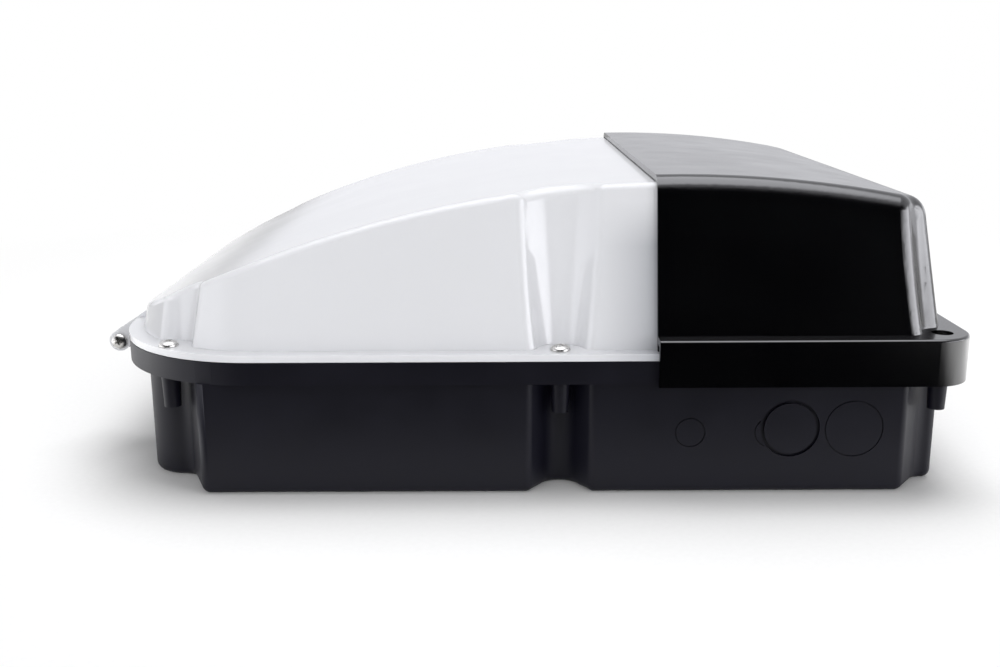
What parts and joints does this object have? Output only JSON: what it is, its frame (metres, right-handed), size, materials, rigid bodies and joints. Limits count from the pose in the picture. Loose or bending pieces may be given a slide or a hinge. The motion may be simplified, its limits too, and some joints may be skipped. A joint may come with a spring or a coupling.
{
  "type": "wall pack light",
  "caption": "Oblong LED wall pack light: black moulded base, hinged opal domed cover and a black hood over its upper end.",
  "frame": {"origin": "middle of the flat back face that meets the wall, under the centre of the bounding box", "axes": "+Z away from the wall through the cover, +X along the light towards the hood end, -Y towards the side with the conduit knock-outs"},
  "size_m": [0.3164, 0.247, 0.11],
  "materials": {
    "base_black": "semi-matt moulded polycarbonate",
    "hood_black": "satin to gloss moulded polycarbonate",
    "opal_polycarbonate": "glossy opal white",
    "seal_grey": "soft silicone",
    "stainless_steel": "bright stainless",
    "zinc_steel": "zinc plated",
    "black_rubber": "matt rubber",
    "white_sheet": "white powder coat",
    "board_white": "white solder mask on aluminium",
    "led_yellow": "phosphor resin",
    "driver_white": "moulded plastic",
    "terminal_white": "nylon",
    "brass": "bright brass",
    "lead_brown": "wire insulation",
    "lead_blue": "wire insulation",
    "lead_green_yellow": "wire insulation",
    "lead_red": "wire insulation"
  },
  "bodies": {
    "housing": {"base_housing": "base_black", "housing_gasket": "seal_grey", "hinge_screws": "stainless_steel", "gear_tray": "white_sheet", "tray_screws": "zinc_steel", "led_board_lower": "board_white", "led_board_centre": "board_white", "led_board_upper": "board_white", "led_chips": "led_yellow", "board_screws": "zinc_steel", "led_connector": "terminal_white", "led_driver": "driver_white", "driver_screws": "zinc_steel", "terminal_block": "terminal_white", "terminal_screws": "brass", "terminal_fixing_screw": "zinc_steel", "earth_screw": "brass", "earth_ring_terminal": "brass", "earth_nut": "brass", "cable_grommet": "black_rubber", "tray_grommet": "black_rubber", "live_lead": "lead_brown", "neutral_lead": "lead_blue", "earth_lead": "lead_green_yellow", "led_leads": "lead_red"},
    "cover": {"diffuser": "opal_polycarbonate", "hood": "hood_black", "diffuser_screws": "stainless_steel", "screw_sealing_rings": "black_rubber"}
  },
  "joints": [
    {"name": "cover_hinge", "type": "hinge", "parent": "housing", "child": "cover", "pos_m": [-0.1542, 0, 0.0416], "axis": [0, -1, 0], "range_deg": [0, 105]}
  ]
}
